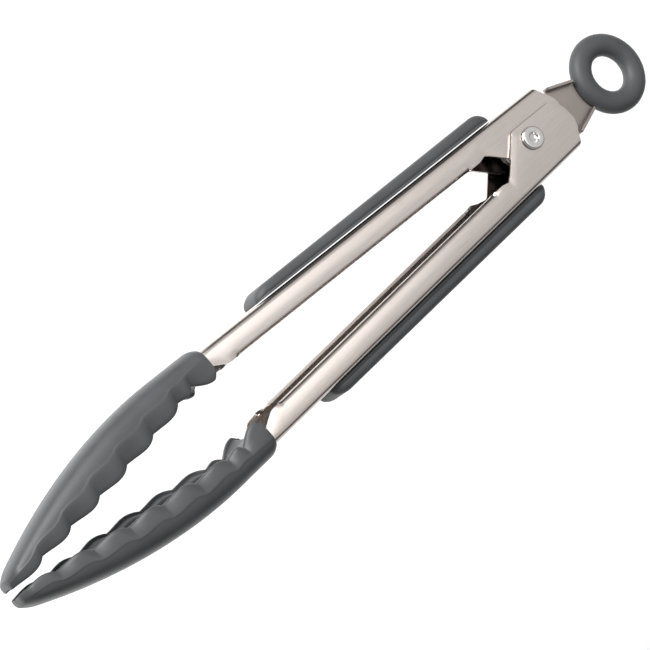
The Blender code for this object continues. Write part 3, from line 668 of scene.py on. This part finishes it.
def jaw_edges(x, lowest):
    """Heights of the scalloped free edges: the short wall's at +z, then the long wall's at -z."""
    depth = (CUFF_LOBE if x < FIRST_VALLEY else LOBE_DEPTH) * (lobe_share(x) + wave(x)) / 2
    middle = VALLEY_EDGE - VALLEY_SLOPE * (x - SECOND_VALLEY) - depth
    offset = WALL_OFFSET * smoothstep(x, *WALL_OFFSET_RISE) * (1 - smoothstep(x, *WALL_OFFSET_FALL))
    return max(middle + offset, lowest), max(middle - offset, lowest)


def smooth_edges(x, lowest):
    """The free edges' heights without the scallops, which shape the crown."""
    middle = VALLEY_EDGE - VALLEY_SLOPE * (x - SECOND_VALLEY) - LOBE_DEPTH / 2
    offset = WALL_OFFSET * smoothstep(x, *WALL_OFFSET_RISE) * (1 - smoothstep(x, *WALL_OFFSET_FALL))
    return max(middle + offset, lowest), max(middle - offset, lowest)


def jaw_seam(x, crown, edge):
    """Height of the wavy parting line on the wall, which follows the lobes."""
    middle = edge + SEAM_SHARE * (crown - edge)
    return middle + SEAM_WAVE * (0.5 - wave(x)) * smoothstep(x, FIRST_VALLEY, SECOND_VALLEY)


def jaw_section(x, half_width, crown, edges, bases, floor, wall, lean):
    """A trough section, open towards the other arm, with a seam step and rounded free edges.

    edges and bases are for the walls at +z and at -z; bases are the edges without scallops.
    """
    outside = []
    for i in range(JAW_STEPS + 1):
        turn = math.pi * i / JAW_STEPS
        sign = math.copysign(1.0, math.cos(turn))
        wall_side = 0 if sign > 0 else 1
        edge = edges[wall_side]
        base = bases[wall_side]
        seam = jaw_seam(x, crown, base)
        z = abs(math.cos(turn)) ** CROWN_SHARPNESS * half_width
        y = base + (crown - base) * math.sin(turn) ** CROWN_SHARPNESS
        if y < seam:
            y = edge + (y - base) * (seam - edge) / (seam - base)
        under = smoothstep(seam - y, -SEAM_HALF_HEIGHT, SEAM_HALF_HEIGHT)
        depth = min(max((seam - y) / max(seam - edge, LEAST_SEAM), 0.0), 1.0)
        z += SEAM_STEP * under - lean * depth ** LEAN_POWER
        outside.append((x, y, sign * z))
    inside = []
    for i in range(JAW_STEPS + 1):
        turn = math.pi * i / JAW_STEPS
        edge = edges[0] if i <= JAW_STEPS // 2 else edges[1]
        y = edge + (floor - edge) * math.sin(turn) ** FLOOR_SHARPNESS
        thicker = smoothstep(y, edge + EDGE_WALL_SPAN[0], edge + EDGE_WALL_SPAN[1])
        thickness = EDGE_WALL + (wall - EDGE_WALL) * thicker
        reach = half_width - min(thickness, wall) - lean
        inside.append((x, y, math.copysign(abs(math.cos(turn)) ** FLOOR_SHARPNESS, math.cos(turn)) * reach))
    lip = []
    for near, far in ((outside[-1], inside[-1]), (inside[0], outside[0])):
        middle = (Vector(near) + Vector(far)) / 2
        radius = abs(near[2] - far[2]) / 2
        turns = [math.pi * i / EDGE_ROUND_STEPS for i in range(1, EDGE_ROUND_STEPS)]
        drop = EDGE_ROUND_SHARE * radius
        lip.append([(x, middle.y - drop * math.sin(t), middle.z - radius * math.cos(t)) for t in turns])
    first_lip, last_lip = lip
    return outside + first_lip + inside[::-1] + last_lip


def make_jaw(label, side, materials):
    node = label + "_jaw_skin"
    low, high = local_box(node, side)
    rings = []
    for i in range(JAW_RINGS + 1):
        x = low.x + (high.x - low.x) * i / JAW_RINGS
        cuff = CUFF_ROUND * max(1.0 - (x - low.x) / CUFF_ROUND_LENGTH, 0.0) ** 2
        tip = TIP_ROUND * max(1.0 - (high.x - x) / TIP_ROUND_LENGTH, 0.0) ** 2
        taper = max(x - JAW_TAPER_START, 0.0) / (high.x - JAW_TAPER_START)
        half_width = high.z - (high.z - JAW_TIP_HALF_WIDTH) * taper ** 2 - tip - HEIGHT_SHARE * cuff
        crown = jaw_crown(x, high.y) - cuff - HEIGHT_SHARE * tip
        edges = jaw_edges(x, low.y)
        shallow = max(edges) + LEAST_TROUGH
        rise = min(max((x - CUFF_FLOOR_SPAN[0]) / (CUFF_FLOOR_SPAN[1] - CUFF_FLOOR_SPAN[0]), 0.0), 1.0)
        floor = CUFF_FLOOR + (min(CORE_TOP, crown - CORE_COVER) - CORE_TO_FLOOR - CUFF_FLOOR) * rise
        floor = max(floor, shallow)
        floor += (shallow - floor) * smoothstep(x, high.x - TROUGH_FADE[0], high.x - TROUGH_FADE[1])
        fade = smoothstep(x, high.x - PINCH_FADE[0], high.x - PINCH_FADE[1])
        pinch = VALLEY_LEAN * (1 - wave(x)) * (1 - fade)
        lean = (WALL_LEAN + pinch) * smoothstep(x, low.x, low.x + LEAN_RUN_IN)
        wall = min(JAW_WALL, half_width - LEAST_TROUGH_HALF_WIDTH)
        bases = smooth_edges(x, low.y)
        rings.append(jaw_section(x, half_width, crown, edges, bases, floor, wall, lean))
    bm = bmesh.new()
    loft(bm, rings)
    jaw = object_from(label + "_jaw_silicone", bm, materials["jaw_silicone"], 60)
    settle(jaw, side, label + "_arm", node)


# ---------------------------------------------------------------- grip pads

def make_grip(label, side, materials):
    """A long pad with rounded ends and shoulders and a fine parting line round its foot."""
    node = label + "_grip_pad"
    low, high = local_box(node, side)
    base = local_box(label + "_arm", side)[1].y + GAP
    rings = []
    for i in range(GRIP_RINGS + 1):
        share = 0.5 - 0.5 * math.cos(math.pi * i / GRIP_RINGS)
        x = low.x + (high.x - low.x) * share
        near_end = min(x - low.x, high.x - x, GRIP_END_RADIUS) / GRIP_END_RADIUS
        rise = math.sqrt(max(1 - (1 - near_end) ** 2, 0.0))
        rise = GRIP_END_RISE + (1 - GRIP_END_RISE) * rise
        top = base + (high.y - base - GRIP_FALL * (x - low.x) / (high.x - low.x)) * rise
        half_width = high.z - GRIP_END_NARROWING * (1 - rise)
        rings.append(grip_section(x, base, top, half_width))
    bm = bmesh.new()
    loft(bm, rings)
    grip = object_from(label + "_grip_silicone", bm, materials["grip_silicone"], 50)
    settle(grip, side, label + "_arm", node)


def grip_section(x, base, top, half_width):
    rise = top - base
    corner = min(GRIP_CORNER, GRIP_CORNER_SHARE * rise)
    groove = GRIP_GROOVE * min(rise / GRIP_GROOVE_FULL, 1.0)
    foot = base + GRIP_FOOT_SHARE * rise
    half = [(half_width, base), (half_width, foot - groove), (half_width - groove, foot)]
    half += [(half_width, foot + groove)]
    half += arc((half_width - corner, top - corner), corner, 0, 90, GRIP_CORNER_STEPS)
    half.append((half_width * GRIP_FLAT_SHARE, top))
    section = half + [(-z, y) for z, y in reversed(half)]
    return [(x, y, z) for z, y in section]


# ---------------------------------------------------------------- rivet, ring, slider and spring

def spin(name, profile, material):
    bm = bmesh.new()
    verts = [bm.verts.new((radius, 0.0, z)) for radius, z in profile]
    edges = [bm.edges.new(pair) for pair in zip(verts, verts[1:])]
    bmesh.ops.spin(bm, geom=verts + edges, axis=(0, 0, 1), cent=(0, 0, 0), steps=SPIN_STEPS,
                   angle=2 * math.pi, use_merge=True)
    obj = object_from(name, bm, material)
    obj.location = PIVOT
    return obj


def make_rivet(materials):
    """A pressed rivet: a domed rim round a dimple above, and a flat domed head below."""
    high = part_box("pivot_rivet")[1]
    radius = high.x
    top = high.z - PIVOT.z
    under = top - HEAD_HEIGHT
    floor = top - DIMPLE_DEPTH
    profile = [(0.0, floor), (DIMPLE_FLOOR[0], floor), (DIMPLE_FLOOR[1], floor + DIMPLE_FILLET)]
    profile.append((DIMPLE_RADIUS, top - DIMPLE_SHOULDER))
    rim_centre = (DIMPLE_RADIUS + DIMPLE_ROUND_INSET, top - DIMPLE_ROUND)
    profile += arc(rim_centre, DIMPLE_ROUND, 160, 90, DIMPLE_ROUND_STEPS)
    profile += arc((radius - HEAD_ROUND, top - HEAD_ROUND), HEAD_ROUND, 90, 0, HEAD_ROUND_STEPS)
    profile += [(radius, under), (RIVET_RADIUS, under), (RIVET_RADIUS, -under), (radius, -under)]
    profile += arc((radius - HEAD_ROUND, -top + HEAD_ROUND), HEAD_ROUND, 0, -90, HEAD_ROUND_STEPS)
    profile.append((0.0, -top))
    rivet = spin("pivot_rivet_polished", profile, materials["bright_steel"])
    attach(rivet, "pivot")
    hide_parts("pivot_rivet")


def make_ring(materials):
    """A round pull ring, moulded over the slider's end."""
    half_width, half_height = RING_SECTION
    tip = Matrix.Rotation(RING_TIP, 3, "Y")
    swing = Matrix.Rotation(SLIDER_SWING, 4, "Z")
    bm = bmesh.new()
    rows = []
    for i in range(RING_STEPS):
        turn = 2 * math.pi * i / RING_STEPS
        row = []
        for k in range(RING_SIDES):
            tube_turn = 2 * math.pi * k / RING_SIDES
            reach = RING_MAJOR + half_width * math.cos(tube_turn)
            height = half_height * math.sin(tube_turn)
            level = Vector((reach * math.cos(turn), reach * math.sin(turn), height))
            row.append(bm.verts.new(tip @ level))
        rows.append(row)
    for i in range(RING_STEPS):
        first = rows[i]
        second = rows[(i + 1) % RING_STEPS]
        for k in range(RING_SIDES):
            m = (k + 1) % RING_SIDES
            bm.faces.new((first[k], first[m], second[m], second[k]))
    ring = object_from("pull_ring_silicone", bm, materials["ring_silicone"])
    ring.matrix_world = Matrix.Translation(PIVOT) @ swing @ Matrix.Translation((RING_CENTRE, 0.0, 0.0))
    slit = bmesh.new()
    reach = RING_MAJOR + half_width
    ends = (-2 * reach, -reach + SLIT_INSETS[0], -RING_MAJOR + SLIT_INSETS[1])
    outline = list(zip(ends, SLIT_HALF_WIDTHS))
    outline += [(x, -y) for x, y in reversed(outline)]
    prism(slit, outline, -SHEET / 2 - SLIT_CLEARANCE, SHEET / 2 + SLIT_CLEARANCE)
    bpy.context.view_layer.update()
    cut(ring, slit)
    ring.data.shade_smooth()
    ring.data.set_sharp_from_angle(angle=math.radians(40))
    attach(ring, "lock_slider")
    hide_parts("pull_ring")


def make_slider(materials):
    """The CAD plate has the right shape, so it is copied, and its edges are rounded."""
    slider = frame["nodes"]["lock_slider"]
    made = bpy.data.objects.new("lock_slider_steel", slider.data.copy())
    bpy.context.scene.collection.objects.link(made)
    made.data.materials.clear()
    made.data.materials.append(materials["tab_steel"])
    bm = bmesh.new()
    bm.from_mesh(made.data)
    bmesh.ops.remove_doubles(bm, verts=bm.verts, dist=1e-6)
    bmesh.ops.dissolve_limit(bm, angle_limit=math.radians(1), verts=bm.verts, edges=bm.edges)
    bm.to_mesh(made.data)
    bm.free()
    round_edges(made, SLIDER_EDGE_ROUND, angle=40)
    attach(made, "lock_slider")
    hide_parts("lock_slider")


def tube(bm, points, radius):
    rings = []
    for i, point in enumerate(points):
        along = (points[min(i + 1, len(points) - 1)] - points[max(i - 1, 0)]).normalized()
        across = along.cross(Vector((0, 0, 1))).normalized()
        up = across.cross(along)
        turns = [2 * math.pi * k / WIRE_SIDES for k in range(WIRE_SIDES)]
        rings.append([point + across * math.cos(t) * radius + up * math.sin(t) * radius for t in turns])
    loft(bm, rings)


def make_spring(materials):
    """The coil in two halves, so that each leg follows its own arm."""
    for label, side in SIDES.items():
        half = []
        for i in range(COIL_STEPS + 1):
            share = 0.5 * i / COIL_STEPS if side > 0 else 1.0 - 0.5 * i / COIL_STEPS
            turn = math.pi / 2 - ARM_TILT - (2 * math.pi * COIL_TURNS - 2 * ARM_TILT) * share
            z = COIL_START - COIL_PITCH * COIL_TURNS * share
            half.append(PIVOT + Vector((COIL_RADIUS * math.cos(turn), COIL_RADIUS * math.sin(turn), z)))
        arm = arm_frame(side)
        rest = local_box(label + "_arm", side)[1].y - SHEET - GAP - WIRE_RADIUS
        start = arm @ Vector((0.0, COIL_RADIUS, 0.0))
        end = arm @ Vector((LEG_REACH, rest, 0.0))
        leg = [start.lerp(end, i / LEG_STEPS) for i in range(LEG_STEPS, 0, -1)]
        for point in leg:
            point.z = half[0].z
        bm = bmesh.new()
        tube(bm, leg + half, WIRE_RADIUS)
        piece = object_from("torsion_spring_" + label + "_half", bm, materials["spring_steel"])
        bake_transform(piece)
        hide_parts("torsion_spring")


# ---------------------------------------------------------------- carried-over CAD nodes, stage, camera

def dress_cad_nodes(materials):
    slots = {row["node"]: row["material_slot"] for row in frame["record"]["subparts"]}
    for name, obj in frame["nodes"].items():
        if obj.hide_render:
            continue
        obj.data.materials.clear()
        obj.data.materials.append(materials[slots[name]])


def make_camera():
    turn_x, turn_y, turn_z = VIEW_TURNS
    turn = Matrix.Rotation(turn_z, 3, "Z") @ Matrix.Rotation(turn_x, 3, "X") @ Matrix.Rotation(turn_y, 3, "Y")
    to_camera = turn.to_4x4()
    to_camera.translation = Vector(VIEW_SHIFT) - turn @ PIVOT
    data = bpy.data.cameras.new("camera")
    data.sensor_width = SENSOR
    data.lens = LENS
    data.clip_start, data.clip_end = CLIP
    camera = bpy.data.objects.new("camera", data)
    camera.matrix_world = to_camera.inverted()
    bpy.context.scene.collection.objects.link(camera)
    bpy.context.scene.camera = camera
    return camera


def area_light(name, camera, offset, size, power):
    """A square soft box placed in the camera's frame (right, up, back), aimed at the middle of the tongs."""
    data = bpy.data.lights.new(name, "AREA")
    data.shape = "RECTANGLE"
    data.size = size
    data.size_y = size
    data.energy = power
    light = bpy.data.objects.new(name, data)
    target = Vector(((CAD_BOX[0].x + CAD_BOX[1].x) / 2, 0.0, PIVOT.z))
    place = target + camera.matrix_world.to_3x3() @ Vector(offset)
    light.location = place
    light.rotation_euler = (target - place).to_track_quat("-Z", "Y").to_euler()
    bpy.context.scene.collection.objects.link(light)


def make_stage(camera):
    bm = bmesh.new()
    bmesh.ops.create_grid(bm, x_segments=1, y_segments=1, size=FLOOR_SIZE / 2)
    paper = Nodes("white_paper")
    paper.shader.inputs["Roughness"].default_value = 0.9
    paper.shader.inputs["Specular IOR Level"].default_value = 0.1
    pale = paper.noise_ramp(paper.noise((3.0, 3.0, 3.0)), (0.96, 0.96, 0.96), (0.98, 0.98, 0.98))
    paper.link(pale, paper.shader.inputs["Base Color"])
    floor = object_from("floor", bm, paper.material)
    floor.location.z = CAD_BOX[0].z - FLOOR_DROP

    world = bpy.data.worlds.new("studio")
    world.use_nodes = True
    background = world.node_tree.nodes["Background"]
    background.inputs["Strength"].default_value = 1.0
    tree = world.node_tree
    coordinates = tree.nodes.new("ShaderNodeTexCoord")
    axes = tree.nodes.new("ShaderNodeSeparateXYZ")
    height = tree.nodes.new("ShaderNodeValToRGB")
    tree.links.new(coordinates.outputs["Generated"], axes.inputs["Vector"])
    tree.links.new(axes.outputs["Z"], height.inputs["Fac"])
    tree.links.new(height.outputs["Color"], background.inputs["Color"])
    elements = height.color_ramp.elements
    elements[0].position = HORIZON[0]
    elements[0].color = (*DARK_WALL, 1.0)
    elements[1].position = HORIZON[1]
    elements[1].color = (*CEILING, 1.0)
    bpy.context.scene.world = world
    area_light("key", camera, *KEY_LIGHT)
    area_light("softbox", camera, *SOFTBOX)
    bpy.context.scene.view_settings.view_transform = "Standard"


# ---------------------------------------------------------------- assembly

camera = make_camera()
materials = make_materials()
for label, side in SIDES.items():
    make_arm(label, side, materials)
    make_jaw(label, side, materials)
    make_grip(label, side, materials)
make_rivet(materials)
make_ring(materials)
make_slider(materials)
make_spring(materials)
dress_cad_nodes(materials)
make_stage(camera)

bpy.context.view_layer.update()
